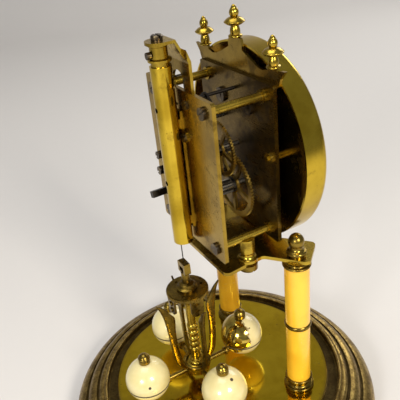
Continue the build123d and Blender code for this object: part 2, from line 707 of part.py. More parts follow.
spring_leaf = sheet(
    [(click_post_at[0] + 1.6, click_post_at[1]), (click_post_at[0] + 2.0, click_post_at[1] - 3.0),
     (click_at[0] + 0.6, click_at[1] + 4.4), (contact[0], contact[1] + 0.35), (contact[0], contact[1]),
     (click_at[0] + 0.9, click_at[1] + 3.9), (click_post_at[0] + 1.4, click_post_at[1] - 3.0),
     (click_post_at[0] + 0.8, click_post_at[1])], ratchet_front + 0.2, ratchet_back - 0.2,
)
spring_body = spring_foot + spring_leaf
spring_body -= level_rod(*click_post_at, screw_radius + screw_gap, back_face - 1, ratchet_back + 1)
save("click_spring", spring_body)
screws.append(slotted_screw(*click_post_at, ratchet_back, 1, 2.2, 1.2, screw_radius, ratchet_back - back_inner))

# second wheel: long-leaved pinion driven by the barrel, wheel driving the centre pinion
arbor_back = back_face - 0.4
arbor_front = front_face + 0.4
second_front = front_inner + 6.5
second_back = second_front + 1.5
centre_phase_toward, centre_pinion_phase = mesh_phases(second_at, centre_at, centre_leaves)
second_pinion_phase = toward_second + math.pi + math.pi / second_leaves


def arbor(centre, radius, back_shoulder=0.0):
    body = level_rod(*centre, radius, front_inner + 0.3, back_inner - 0.3 - back_shoulder)
    body += level_rod(*centre, pivot_radius, arbor_front, front_inner + 0.3)
    return body + level_rod(*centre, pivot_radius, back_inner - 0.3 - back_shoulder, arbor_back)


collet = 3.0
second_wheel = gear(second_at, second_teeth, slow_module, centre_phase_toward, second_front, second_back)
second_wheel -= crossings(second_at, 5.0, second_teeth * slow_module / 2 - 2.8, 2.2, 5, second_front, second_back)
second_wheel -= level_rod(*second_at, collet + 0.01, second_front - 1, second_back + 1)
second_arbor = arbor(second_at, 1.5)
second_arbor += level_rod(*second_at, collet, second_front - 1.2, second_back + 1.2)
second_arbor += gear(second_at, second_leaves, slow_module, second_pinion_phase, second_back + 1.2, back_inner - 4)
save("second_wheel", second_wheel, second_arbor)

# centre wheel, with the arbor that carries the minute hand through the dial
centre_front = front_inner + 11.0
centre_back = centre_front + 1.2
third_toward, third_pinion_phase = mesh_phases(centre_at, third_at, third_leaves)
centre_wheel = gear(centre_at, centre_teeth, fast_module, third_toward, centre_front, centre_back)
centre_wheel -= crossings(centre_at, 4.4, centre_teeth * fast_module / 2 - 2.2, 1.9, 5, centre_front, centre_back)
centre_wheel -= level_rod(*centre_at, 2.4 + 0.01, centre_front - 1, centre_back + 1)
minute_back = dial_front - 2.0
minute_front = minute_back - 0.6
centre_arbor = level_rod(*centre_at, centre_arbor_radius, minute_front - 1.2, back_inner - 0.3)
centre_arbor += level_rod(*centre_at, pivot_radius, back_inner - 0.3, arbor_back)
centre_arbor += gear(centre_at, centre_leaves, slow_module, centre_pinion_phase, front_inner + 4.5, centre_front - 0.5)
centre_arbor += level_rod(*centre_at, 2.4, centre_front - 0.5, centre_back + 1.0)
save("centre_wheel", centre_wheel, centre_arbor)

# third wheel and escape wheel
third_front = back_inner - 8.0
third_back = third_front + 1.2
escape_toward, escape_pinion_phase = mesh_phases(third_at, escape_at, escape_leaves)
third_wheel = gear(third_at, third_teeth, fast_module, escape_toward, third_front, third_back)
third_wheel -= crossings(third_at, 3.8, third_teeth * fast_module / 2 - 2.0, 1.7, 4, third_front, third_back)
third_wheel -= level_rod(*third_at, 2.1 + 0.01, third_front - 1, third_back + 1)
third_arbor = arbor(third_at, 1.0)
third_arbor += gear(third_at, third_leaves, fast_module, third_pinion_phase, centre_front - 1.5, centre_back + 1.5)
third_arbor += level_rod(*third_at, 2.1, third_front - 1.0, third_back + 1.0)
save("third_wheel", third_wheel, third_arbor)

escape_teeth = 10
escape_radius = 6.5
escape_root = 4.6
escape_front = back_inner - 14.0
escape_back = escape_front + 1.0
escape_points = []
for tooth in range(escape_teeth):
    angle = math.radians(90) + (tooth + 0.5) * 2 * math.pi / escape_teeth
    for reach, turn in ((escape_root, -0.07), (escape_radius, 0.10), (escape_radius, 0.14), (escape_root, 0.17)):
        escape_points.append(
            (escape_at[0] + reach * math.cos(angle + turn), escape_at[1] + reach * math.sin(angle + turn))
        )
escape_wheel = sheet(escape_points, escape_front, escape_back)
escape_wheel -= crossings(escape_at, 2.2, 3.7, 1.0, 4, escape_front, escape_back)
escape_wheel -= level_rod(*escape_at, 1.5 + 0.01, escape_front - 1, escape_back + 1)
escape_arbor = arbor(escape_at, 0.9)
escape_arbor += gear(escape_at, escape_leaves, fast_module, escape_pinion_phase, third_front - 2.0, third_back + 2.0)
escape_arbor += level_rod(*escape_at, 1.5, escape_front - 0.8, escape_back + 0.8)
save("escape_wheel", escape_wheel, escape_arbor)

# anchor: two pallets astride the escape wheel, and the upright pin worked by the fork;
# a pallet rocked by the swing comes nearer to the wheel by at most the axle distance times the swing
anchor_swing = math.radians(4)
pallet_gap = 0.2
pallet_reach = escape_radius + anchor_reach * anchor_swing + pallet_gap
anchor_front = escape_front
anchor_back = escape_back


def beside_escape(degrees):
    # place on the circle that the pallet faces keep to, by its angle above the level
    turn = math.radians(degrees)
    return pallet_reach * math.cos(turn), escape_at[1] + pallet_reach * math.sin(turn)


heel = beside_escape(45)
toe = beside_escape(32)
half_anchor = [
    (0, anchor_at[1] + 2.0), (2.0, anchor_at[1] + 1.4), (heel[0] + 1.5, heel[1] + 2.0), (toe[0] + 0.9, toe[1] - 0.3),
    toe, heel, (heel[0] - 0.2, heel[1] + 1.6), (1.6, anchor_at[1] - 1.4), (0, anchor_at[1] - 1.7),
]
anchor = sheet(half_anchor + [(-x, z) for x, z in reversed(half_anchor[1:-1])], anchor_front, anchor_back)
anchor += arbor(anchor_at, 0.9)
pin_y = pendulum_y - (fork_z - anchor_at[1])
pin_radius = 0.4
anchor += level_rod(*anchor_at, 1.6, pin_y - 1.0, pin_y + 1.0)
anchor += upright(0, pin_y, pin_radius, anchor_at[1], fork_z + 2.6)
save("anchor", anchor)

# fork: clamped on the suspension spring, its two tines astride the anchor pin
tine_gap = pin_radius + 0.15
tine = 0.9
fork_low = fork_z - fork_height / 2
fork_high = fork_z + fork_height / 2
fork_radius = tube_bore - (pendulum_y - tube_y) - working_gap + running_gap
fork = upright(0, pendulum_y, fork_radius, fork_low, fork_high)
fork += block(-tine_gap - tine, tine_gap + tine, pin_y - 1.4, pendulum_y, fork_z - 0.6, fork_z + 0.6)
fork -= block(-tine_gap, tine_gap, pin_y - 3, pin_y + 3.4, fork_z - 2, fork_z + 2)
fork -= upright(0, pendulum_y, wire_bore, fork_low - 1, fork_high + 1)
save("suspension_fork", fork)

# motion works and hands
cannon_front = front_face - 2.0
cannon_back = front_face - 0.8
cannon_toward = bearing(centre_at, motion_at)
minute_phase = cannon_toward + math.pi
cannon_phase = cannon_toward + math.pi / cannon_leaves
cannon = gear(centre_at, cannon_leaves, cannon_module, cannon_phase, cannon_front, cannon_back)
cannon += level_rod(*centre_at, cannon_radius, minute_back, cannon_back)
cannon -= level_rod(*centre_at, centre_arbor_radius + 0.01, minute_back - 1, cannon_back + 1)
save("cannon_pinion", cannon)
hour_wheel_front = front_face - 4.8
hour_wheel_back = hour_wheel_front + 1.0
hour_back = dial_front - 0.6
hour_front = hour_back - 0.6
stud_radius = 0.9
minute_wheel = gear(motion_at, minute_teeth, cannon_module, minute_phase, cannon_front, cannon_back)
minute_wheel += gear(
    motion_at, minute_leaves, hour_module, bearing(motion_at, centre_at) + math.pi / minute_leaves,
    hour_wheel_front - 0.3, cannon_front,
)
minute_wheel -= level_rod(*motion_at, stud_radius + running_gap, hour_wheel_front - 1, cannon_back + 1)
save("minute_wheel", minute_wheel)
stud = level_rod(*motion_at, stud_radius, hour_wheel_front - 0.7, front_face)
stud += level_rod(*motion_at, 1.6, hour_wheel_front - 1.3, hour_wheel_front - 0.6)
stud += level_rod(*motion_at, 1.5, front_face - 0.4, front_face)
stud += level_rod(*motion_at, screw_radius, front_face, front_inner)
screws.append(stud)
hour_wheel = gear(centre_at, hour_teeth, hour_module, cannon_toward, hour_wheel_front, hour_wheel_back)
hour_wheel += level_rod(*centre_at, hour_tube_radius, hour_front, hour_wheel_back)
hour_wheel -= level_rod(*centre_at, cannon_radius + running_gap, hour_front - 1, hour_wheel_back + 1)
save("hour_wheel", hour_wheel)


def hand(length, width, boss, hole, clock_angle, front, back):
    # pierced spade hand pointing up, then turned clockwise from twelve
    blade = [
        (-width * 0.35, -length * 0.20), (width * 0.35, -length * 0.20), (width * 0.22, length * 0.45),
        (width * 1.2, length * 0.62), (width * 0.9, length * 0.78), (width * 0.3, length * 0.86), (0, length),
        (-width * 0.3, length * 0.86), (-width * 0.9, length * 0.78), (-width * 1.2, length * 0.62),
        (-width * 0.22, length * 0.45),
    ]
    shape = sheet(blade, front, back)
    shape -= sheet([(x * 0.62, length * 0.13 + z * 0.82) for x, z in blade[3:10]], front - 1, back + 1)
    shape += level_rod(0, 0, boss, front, back)
    shape -= level_rod(0, 0, hole, front - 1, back + 1)
    return Pos(0, 0, dial_z) * Rot(0, clock_angle, 0) * shape


shown_hours = 10
shown_minutes = 9
hour_angle = (shown_hours + shown_minutes / 60) * 30
save("hour_hand", hand(27.0, 2.4, 4.0, hour_tube_radius + 0.01, hour_angle, hour_front, hour_back))
save("minute_hand", hand(39.0, 2.0, 3.0, centre_arbor_radius + 0.01, shown_minutes * 6, minute_front, minute_back))
save("movement_screws", *screws, *nuts)

# torsion spring: one thin flat strip from the saddle down to the pendulum hook
strip_half = spring_width / 2
save(
    "suspension_spring",
    block(-strip_half, strip_half, pendulum_y - spring_thickness / 2, pendulum_y + spring_thickness / 2,
          hook_top - 2.5, saddle_bottom + 3.5),
)

# pendulum, hanging on the line x = 0, y = pendulum_y
disc_top = hook_top - 17.8
disc_low = disc_top - regulating_thickness
span = disc_low - pendulum_foot
hook_bottom = hook_top - 7.0
stem_radius = 1.7
stem_low = disc_low - 6.0
hook = block(-4.0, 4.0, pendulum_y - 1.9, pendulum_y + 1.9, hook_bottom, hook_top)
hook = fillet(hook.edges().filter_by(Axis.Y), 0.8)
hook -= block(-2.2, 2.2, pendulum_y - 3, pendulum_y + 3, hook_bottom + 1.4, hook_top - 2.6)
hook += turned(
    0, pendulum_y, (0, stem_low), (stem_radius, stem_low), (stem_radius, disc_top + 0.1), (6.0, disc_top + 0.1),
    (6.0, disc_top + 1.2), (4.6, disc_top + 1.8), (4.2, disc_top + 3.4), (2.4, disc_top + 4.0),
    (2.4, hook_bottom + 0.5), (0, hook_bottom + 0.5),
)
hook -= block(-strip_half - 0.01, strip_half + 0.01, pendulum_y - spring_thickness / 2 - 0.01,
              pendulum_y + spring_thickness / 2 + 0.01, hook_top - 2.6, hook_top + 1)
save("pendulum_hook", hook)

# crown: spider under the regulating disc with four tabs bent down round the column
crown_top = disc_low - 0.1
tab_radius = 10.5
tab_drop = 11.0
tab_width = 8.0


def around(shape, quarter):
    # copy of a shape modelled on the +X side of the pendulum, turned by quarter turns
    return Pos(0, pendulum_y, 0) * Rot(0, 0, 90 * quarter) * shape


def upright_strip(points, thickness, half_width):
    # strip of even thickness following (radius, height) points, square across to the +X direction
    outer = [(r + thickness / 2, z) for r, z in points]
    inner = [(r - thickness / 2, z) for r, z in reversed(points)]
    face = make_face([Spline(*[lift(p) for p in outer]), Line(lift(outer[-1]), lift(inner[0])),
                      Spline(*[lift(p) for p in inner]), Line(lift(inner[-1]), lift(outer[0]))])
    return extrude(face, half_width, both=True, dir=(0, 1, 0))


crown = upright(0, pendulum_y, 6.0, crown_top - 1.6, crown_top)
for quarter in range(4):
    arm = block(2, tab_radius + 0.6, -2.6, 2.6, crown_top - 1.4, crown_top)
    tab = block(tab_radius - 0.6, tab_radius + 0.6, -tab_width / 2, tab_width / 2, crown_top - tab_drop, crown_top)
    tab = fillet(tab.edges().filter_by(Axis.X).group_by(Axis.Z)[0], 3.4)
    crown += around(arm + tab, quarter)
    for height in (4.0, 8.4):
        crown -= around(Pos(tab_radius, 0, crown_top - height) * Rot(0, 90, 0) * Cylinder(0.85, 4), quarter)
crown -= upright(0, pendulum_y, stem_radius + 0.01, crown_top - 3, crown_top + 1)
save("pendulum_crown", crown)
tab_screws = []
for quarter in range(4):
    for height in (4.0, 8.4):
        screw = Pos(tab_radius + 0.6, 0, crown_top - height) * Rot(0, 90, 0) * (
            Pos(0, 0, 0.45) * Cylinder(1.5, 0.9) + Pos(0, 0, -0.8) * Cylinder(0.8, 1.8)
        )
        tab_screws.append(around(screw, quarter))
save("crown_screws", *tab_screws)

# regulating disc: knurled rim, running on the stem of the hook
rim = regulating_radius
knurls = 72
notches = make_face(Polyline(*[
    ((rim - 0.25 * (index % 2)) * math.cos(math.pi * index / knurls),
     (rim - 0.25 * (index % 2)) * math.sin(math.pi * index / knurls), disc_low)
    for index in range(2 * knurls)
], close=True))
regulating = Pos(0, pendulum_y, 0) * extrude(notches, regulating_thickness - 0.4, dir=(0, 0, 1))
regulating += upright(0, pendulum_y, rim - 0.5, disc_top - 0.5, disc_top)
for angle, reach, size in ((20, 8.4, 0.9), (140, 8.8, 0.9), (260, 8.4, 0.9)):
    turn = math.radians(angle)
    regulating -= upright(reach * math.cos(turn), pendulum_y + reach * math.sin(turn), size, disc_low - 1, disc_top + 1)
regulating -= upright(0, pendulum_y, stem_radius + running_gap, disc_low - 1, disc_top + 1)
save("regulating_disc", regulating)

# column: smooth neck, five beads, belt and hub with four blind radial bores for the ball arms
def level(share):
    return pendulum_foot + span * share


arm_z = pendulum_foot + 4.9
hub_radius = 7.4
hub_low = arm_z - 3.0
hub_high = arm_z + 3.2
neck_radius = 2.6
bead_rise = 0.8
neck_top = crown_top - 1.6
column_steps = [(0, hub_low), (hub_radius - 1.0, hub_low), (hub_radius, hub_low + 1.0), (hub_radius, hub_high - 1.0),
                (hub_radius - 1.0, hub_high), (4.6, hub_high + 0.6),
                ((5.2, hub_high + 1.5), (3.6, hub_high + 2.6)), (neck_radius + 0.4, hub_high + 4.2)]
bead = span * 0.031
for share in (0.303, 0.372, 0.439, 0.512, 0.588):
    middle = level(share)
    column_steps.append((neck_radius, middle - bead))
    column_steps.append(((neck_radius + bead_rise, middle), (neck_radius, middle + bead)))
column_steps.append((neck_radius + 0.2, level(0.86)))
column_steps.append((neck_radius + 1.2, neck_top))
column_steps.append((0, neck_top))
column = turned(0, pendulum_y, *column_steps)
column -= upright(0, pendulum_y, stem_radius + 0.01, stem_low - 0.2, neck_top + 1)
arm_radius = 1.5
arm_inner = 4.4
bore_end = arm_inner - ball_travel - free_gap
for quarter in range(4):
    hole = Pos(bore_end + hub_radius / 2, 0, arm_z) * Rot(0, 90, 0) * Cylinder(arm_radius + running_gap, hub_radius)
    column -= around(hole, quarter)
save("pendulum_column", column)
cap = turned(
    0, pendulum_y, (0, pendulum_foot - 0.4), ((1.4, pendulum_foot - 0.1), (2.2, pendulum_foot + 0.6)),
    (5.2, pendulum_foot + 1.1), (hub_radius - 1.2, hub_low), (0, hub_low),
)
save("pendulum_cap", cap)

# horns: four curled strips rising from the hub beside the balls
horn_points = [(hub_radius - 0.9, hub_high - 0.1), (hub_radius + 2.4, hub_high + 1.6), (12.4, level(0.225)), (14.0, level(0.5)),
               (14.6, level(0.73)), (16.0, level(0.88)), (20.2, level(0.97))]
horn_foot = hub_high - 1.0
horns = []
for quarter in range(4):
    strip = upright_strip(horn_points, 2.2, 2.9)
    tip = Pos(17.6, 0, level(0.90)) * Rot(0, -52, 0)
    for side in (-1, 1):
        cutter = make_face(Polyline((0, side * 3.0, 0), (10, side * 0.4, 0), (10, side * 6, 0), (0, side * 6, 0), close=True))
        strip -= tip * extrude(cutter, 8, both=True)
    strip -= Cylinder(hub_radius - 0.98, 400)
    horns.append(around(strip, quarter))
ring = upright(0, pendulum_y, hub_radius + 0.4, hub_high - 1.5, hub_high + 0.1) - upright(0, pendulum_y, hub_radius + 0.01, 0, 200)
lip = upright(0, pendulum_y, hub_radius + 0.4, hub_high + 0.02, hub_high + 1.1)
lip -= upright(0, pendulum_y, 5.9, hub_high - 1, hub_high + 3)
horn_ring = ring + lip
for horn in horns:
    horn_ring += horn
horn_ring -= column
save("pendulum_horns", horn_ring)

# balls: enamelled sphere with a closing seam, each on a sliding radial arm with a collar and a top knob
seam_drop = 2.0
arm_drop = ball_z - arm_z
entry = ball_orbit - math.sqrt(ball_radius**2 - arm_drop**2)
socket = entry + 5.0
for quarter in range(4):
    ball = Pos(ball_orbit, 0, ball_z) * Sphere(ball_radius)
    seam_radius = math.sqrt(ball_radius**2 - seam_drop**2)
    ball -= Pos(ball_orbit, 0, ball_z - seam_drop) * (Cylinder(seam_radius + 1, 0.3) - Cylinder(seam_radius - 0.3, 1))
    ball -= Pos((entry + socket) / 2 - 3, 0, arm_z) * Rot(0, 90, 0) * Cylinder(arm_radius + 0.02, socket - entry + 6)
    ball -= Pos(ball_orbit, 0, 0) * upright(0, 0, 1.2, ball_z + ball_radius - 4, ball_z + ball_radius + 1)
    save(f"ball_{quarter + 1}", around(ball, quarter))
    arm = Pos((arm_inner + socket) / 2, 0, arm_z) * Rot(0, 90, 0) * Cylinder(arm_radius, socket - arm_inner)
    collar = Pos(entry - 2.6, 0, arm_z) * Rot(0, 90, 0) * Cylinder(arm_radius + 1.0, 1.6)
    knob_seat = ball_z + ball_radius
    knob = turned(
        0, 0, (0, knob_seat - 3.8), (1.19, knob_seat - 3.8), (1.19, knob_seat + 0.05), (3.4, knob_seat + 0.05),
        (3.4, knob_seat + 2.2), (3.0, knob_seat + 2.5), ((3.5, knob_seat + 3.3), (3.0, knob_seat + 4.2)),
        ((2.0, knob_seat + 5.3), (0.6, knob_seat + 5.9)), (0, knob_seat + 5.9),
    )
    save(f"ball_fittings_{quarter + 1}", around(arm + collar, quarter), around(Pos(ball_orbit, 0, 0) * knob, quarter))
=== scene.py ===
import math
import bpy
import numpy as np
from mathutils import Matrix, Vector


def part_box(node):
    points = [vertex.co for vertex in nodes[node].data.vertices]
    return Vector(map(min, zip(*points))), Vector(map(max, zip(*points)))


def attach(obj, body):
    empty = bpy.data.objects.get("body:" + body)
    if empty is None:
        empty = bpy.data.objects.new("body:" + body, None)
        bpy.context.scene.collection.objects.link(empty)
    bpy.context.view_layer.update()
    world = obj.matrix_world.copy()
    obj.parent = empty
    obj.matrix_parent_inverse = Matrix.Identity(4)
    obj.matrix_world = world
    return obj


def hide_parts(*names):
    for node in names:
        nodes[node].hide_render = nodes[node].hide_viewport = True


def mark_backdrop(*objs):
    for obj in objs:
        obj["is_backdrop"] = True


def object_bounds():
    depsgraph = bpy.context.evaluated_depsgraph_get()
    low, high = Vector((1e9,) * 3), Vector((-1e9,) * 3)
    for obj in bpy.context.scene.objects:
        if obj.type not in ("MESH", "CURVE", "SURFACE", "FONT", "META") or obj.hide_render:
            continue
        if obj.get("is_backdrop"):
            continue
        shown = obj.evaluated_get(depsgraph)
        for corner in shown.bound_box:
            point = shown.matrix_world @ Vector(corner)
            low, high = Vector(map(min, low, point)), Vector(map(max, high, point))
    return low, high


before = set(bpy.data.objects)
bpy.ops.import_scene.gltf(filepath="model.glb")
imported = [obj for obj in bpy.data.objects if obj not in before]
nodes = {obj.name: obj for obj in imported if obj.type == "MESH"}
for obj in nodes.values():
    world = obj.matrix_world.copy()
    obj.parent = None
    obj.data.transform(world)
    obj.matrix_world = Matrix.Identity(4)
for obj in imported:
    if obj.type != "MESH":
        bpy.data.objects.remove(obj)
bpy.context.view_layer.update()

scene = bpy.context.scene
mm = 0.001


# shader maths: a socket that takes part in Python expressions
class Sock:
    def __init__(self, graph, out):
        self.graph = graph
        self.out = out

    def math(self, kind, *others):
        return self.graph.node("ShaderNodeMath", {"operation": kind}, self, *others)

    def __add__(self, other):
        return self.math("ADD", other)

    def __radd__(self, other):
        return self.math("ADD", other)

    def __sub__(self, other):
        return self.math("SUBTRACT", other)

    def __rsub__(self, other):
        return self.graph.node("ShaderNodeMath", {"operation": "SUBTRACT"}, other, self)

    def __mul__(self, other):
        return self.math("MULTIPLY", other)

    def sin(self):
        return self.math("SINE")

    def root(self):
        return self.math("SQRT")

    def size(self):
        return self.math("ABSOLUTE")

    def high(self, other):
        return self.math("MAXIMUM", other)

    def ramp(self, start, end):
        # 0 below start, 1 above end, smooth between; start may be the larger
        return self.graph.node("ShaderNodeMapRange", {"interpolation_type": "SMOOTHSTEP"},
                               self, start, end, 0.0, 1.0)


class Graph:
    # one material: named sockets in, nodes made by one method
    def __init__(self, name, **constants):
        self.material = bpy.data.materials.new(name)
        self.material.use_nodes = True
        self.tree = self.material.node_tree
        self.tree.nodes.clear()
        self.shader = self.tree.nodes.new("ShaderNodeBsdfPrincipled")
        self.output = self.tree.nodes.new("ShaderNodeOutputMaterial")
        self.tree.links.new(self.shader.outputs[0], self.output.inputs[0])
        for key, value in constants.items():
            self.shader.inputs[key.replace("_", " ")].default_value = value
        place = self.tree.nodes.new("ShaderNodeTexCoord")
        self.place = Sock(self, place.outputs["Object"])

    def node(self, kind, settings, *inputs, out=0, **named):
        made = self.tree.nodes.new(kind)
        for key, value in settings.items():
            setattr(made, key, value)
        pairs = list(zip([s for s in made.inputs if s.enabled], inputs))
        pairs += [(made.inputs[key], value) for key, value in named.items()]
        for socket, value in pairs:
            if isinstance(value, Sock):
                self.tree.links.new(value.out, socket)
            else:
                socket.default_value = value
        return Sock(self, made.outputs[out])

    def noise(self, scale, detail=3.0, rough=0.55, where=None, warp=0.0):
        return self.node("ShaderNodeTexNoise", {}, Vector=where or self.place, Scale=scale, Detail=detail,
                         Roughness=rough, Distortion=warp)

    def cells(self, scale):
        return self.node("ShaderNodeTexVoronoi", {"feature": "F1"}, Vector=self.place, Scale=scale)

    def stretched(self, x, y, z):
        return self.node("ShaderNodeMapping", {}, Vector=self.place, Scale=(x, y, z))

    def shifted(self, x, y, z):
        return self.node("ShaderNodeVectorMath", {"operation": "SUBTRACT"}, self.place,
                         (x * mm, y * mm, z * mm))

    def axes(self, where=None):
        split = self.tree.nodes.new("ShaderNodeSeparateXYZ")
        self.tree.links.new((where or self.place).out, split.inputs[0])
        return [Sock(self, s) for s in split.outputs]

    def mix(self, share, first, second):
        made = self.tree.nodes.new("ShaderNodeMix")
        made.data_type = "RGBA"
        for socket, value in ((made.inputs[0], share), (made.inputs[6], first), (made.inputs[7], second)):
            if isinstance(value, Sock):
                self.tree.links.new(value.out, socket)
            else:
                socket.default_value = (*value, 1.0) if isinstance(value, tuple) else value
        return Sock(self, made.outputs[2])

    def bump(self, height, strength, reach):
        return self.node("ShaderNodeBump", {}, Height=height, Strength=strength, Distance=reach)

    def set(self, **sockets):
        for key, value in sockets.items():
            self.tree.links.new(value.out, self.shader.inputs[key.replace("_", " ")])
        return self.material


def dress(material, *names):
    for name in names:
        mesh = nodes[name].data
        mesh.materials.clear()
        mesh.materials.append(material)


# brass in its several states of wear, and a copy of the plate brass at about half brightness, which is
# painted shade
def brass(name, clean, dull, tarnish, rough=0.16, wear=0.5, grain=0.3, stretch=(1, 1, 1), spots=0.5):
    # colour = mix(clean, dull) by broad noise, then brown tarnish where noise is high, dark specks by cells
    g = Graph(name, Metallic=1.0)
    broad = g.noise(38.0, 4.0, 0.6)
    fine = g.noise(900.0, 3.0, 0.6, where=g.stretched(*stretch))
    patch = g.noise(95.0, 6.0, 0.68, warp=0.4).ramp(0.62 - 0.16 * wear, 0.80 - 0.12 * wear)
    speck = g.cells(420.0).ramp(0.22, 0.05) * g.noise(60.0, 2.0).ramp(0.52, 0.66) * spots
    tone = g.mix(broad.ramp(0.35, 0.68), clean, dull)
    tone = g.mix(patch * (0.35 + 0.5 * wear), tone, tarnish)
    tone = g.mix(speck, tone, (0.045, 0.028, 0.008))
    roughness = rough + fine * 0.10 * grain + patch * 0.22 * wear + speck * 0.3 + broad * 0.06
    relief = g.bump(fine + speck * -0.6, 0.10 + 0.25 * grain, 0.00006)
    return g.set(Base_Color=tone, Roughness=roughness, Normal=relief)


polished = brass("polishedBrass", (0.60, 0.42, 0.040), (0.40, 0.265, 0.018), (0.15, 0.085, 0.012),
                 rough=0.12, wear=0.5, grain=0.2)
satin = brass("satinBrass", (0.52, 0.36, 0.045), (0.30, 0.195, 0.022), (0.085, 0.050, 0.010),
              rough=0.19, wear=0.75, grain=0.4)
plateBrass = brass("plateBrass", (0.40, 0.265, 0.042), (0.22, 0.138, 0.020), (0.075, 0.044, 0.009),
                   rough=0.18, wear=0.7, grain=0.4, stretch=(0.12, 1, 3))
# painted shade: the plate brass at about half brightness, for the front plate and the barrel, which sit
# where shade falls between the plates
shadedPlateBrass = brass("shadedPlateBrass", (0.20, 0.130, 0.026), (0.10, 0.062, 0.013), (0.040, 0.024, 0.007),
                   rough=0.22, wear=0.8, grain=0.5, stretch=(0.12, 1, 3))
bronze = brass("agedBronze", (0.30, 0.20, 0.034), (0.125, 0.080, 0.014), (0.036, 0.022, 0.006),
               rough=0.20, wear=0.9, grain=0.6)
print("brass materials made")


def wheelBrass(name, x, z, reach):
    # wheel and its arbor in one node: steel where the distance from the axis is under reach, brass outside
    g = Graph(name, Metallic=1.0)
    across, along, height = g.axes(g.shifted(x, 0, z))
    radius = (across * across + height * height).root()
    steelPart = radius.ramp((reach + 0.05) * mm, (reach - 0.05) * mm)
    lathe = g.node("ShaderNodeCombineXYZ", {}, radius * 4200.0, along * 260.0, 0.0)
    turning = g.noise(1.0, 3.0, 0.6, where=lathe)
    cloud = g.noise(120.0, 4.0, 0.6)
    tone = g.mix(cloud.ramp(0.35, 0.7), (0.48, 0.33, 0.07), (0.24, 0.16, 0.035))
    tone = g.mix(steelPart, tone, (0.19, 0.175, 0.15))
    rough = 0.20 + turning * 0.12 + cloud * 0.10 - steelPart * 0.04
    return g.set(Base_Color=tone, Roughness=rough, Normal=g.bump(turning, 0.15, 0.00005))


# radii, in metres, of the dome's groove and of the two turned steps outside it
domeGroove = 0.0692
baseSteps = (0.0793, 0.0868)


def baseBrass():
    # cast-like skin: colour and height follow coarse and fine noise and small pits,
    # darker in the turned grooves
    g = Graph("agedBase", Metallic=1.0)
    x, y, z = g.axes()
    radius = (x * x + y * y).root()
    coarse = g.noise(160.0, 8.0, 0.72)
    fine = g.noise(700.0, 4.0, 0.7)
    pits = g.cells(520.0).ramp(0.45, 0.1)
    rings = (radius * 5200.0).sin() * 0.5 + 0.5
    dark = (coarse * 0.7 + fine * 0.3).ramp(0.40, 0.62)
    groove = (radius - domeGroove).size().ramp(0.0044, 0.0022)
    for step in baseSteps:
        groove = groove.high((radius - step).size().ramp(0.0014, 0.0003))
    tone = g.mix(dark, (0.17, 0.105, 0.028), (0.42, 0.29, 0.085))
    tone = g.mix(pits * 0.5, tone, (0.07, 0.042, 0.012))
    tone = g.mix(groove * 0.85, tone, (0.022, 0.013, 0.004))
    rough = 0.34 + dark * -0.08 + pits * 0.12 + fine * 0.14 + groove * 0.2
    relief = g.bump(coarse * 0.6 + fine * 0.5 + rings * 0.05 - pits * 0.4, 0.55, 0.00018)
    return g.set(Base_Color=tone, Roughness=rough, Normal=relief)


def discBrass():
    # mirror-bright plate with fine turning marks r = const, cloudy stains and small dark spots
    g = Graph("discBrass", Metallic=1.0)
    x, y, z = g.axes()
    radius = (x * x + y * y).root()
    lathe = g.node("ShaderNodeCombineXYZ", {}, radius * 2600.0, radius * 310.0, 0.0)
    turning = g.noise(1.0, 4.0, 0.7, where=lathe)
    cloud = g.noise(42.0, 6.0, 0.62, warp=0.6)
    stain = g.noise(24.0, 5.0, 0.6).ramp(0.55, 0.72)
    spot = g.cells(210.0).ramp(0.16, 0.04) * g.noise(30.0, 2.0).ramp(0.5, 0.6)
    tone = g.mix(cloud.ramp(0.35, 0.7), (0.74, 0.52, 0.030), (0.58, 0.39, 0.016))
    tone = g.mix(stain * 0.45, tone, (0.30, 0.17, 0.02))
    tone = g.mix(spot * 0.8, tone, (0.10, 0.055, 0.012))
    edge = radius.ramp(0.0635, 0.0660)
    tone = g.mix(edge * 0.5, tone, (0.30, 0.18, 0.04))
    rough = 0.075 + turning * 0.05 + stain * 0.10 + spot * 0.25 + cloud * 0.04
    return g.set(Base_Color=tone, Roughness=rough, Normal=g.bump(turning, 0.06, 0.00005))


def darkSteel():
    g = Graph("darkSteel", Metallic=1.0)
    grit = g.noise(800.0, 4.0, 0.65)
    worn = g.noise(260.0, 3.0).ramp(0.58, 0.74)
    tone = g.mix(worn, (0.035, 0.030, 0.026), (0.20, 0.17, 0.12))
    return g.set(Base_Color=tone, Roughness=0.30 + grit * 0.18, Normal=g.bump(grit, 0.25, 0.00005))


def enamel(name, tone, deep, chips=0.4):
    # stoved enamel: faint orange peel, darker drifts, small dark chips where cells and noise agree
    g = Graph(name, Metallic=0.0, Coat_Weight=0.35, Coat_Roughness=0.06)
    peel = g.noise(420.0, 2.0, 0.5)
    drift = g.noise(48.0, 5.0, 0.6)
    chip = g.cells(150.0).ramp(0.17, 0.10) * g.noise(55.0, 3.0).ramp(0.56, 0.62) * chips
    dirt = g.noise(210.0, 5.0, 0.7).ramp(0.60, 0.76)
    colour = g.mix(drift.ramp(0.35, 0.7), tone, deep)
    colour = g.mix(dirt * 0.30, colour, (0.32, 0.22, 0.09))
    colour = g.mix(chip, colour, (0.10, 0.055, 0.02))
    rough = 0.20 + drift * 0.10 + chip * 0.4 + dirt * 0.12
    return g.set(Base_Color=colour, Roughness=rough, Normal=g.bump(peel - chip * 2.0, 0.12, 0.00012))


# the four balls stand round the pendulum's axis; all in mm
pendulumAxis = 16.0
ballReach = 32.8
ballHeight = 46.5


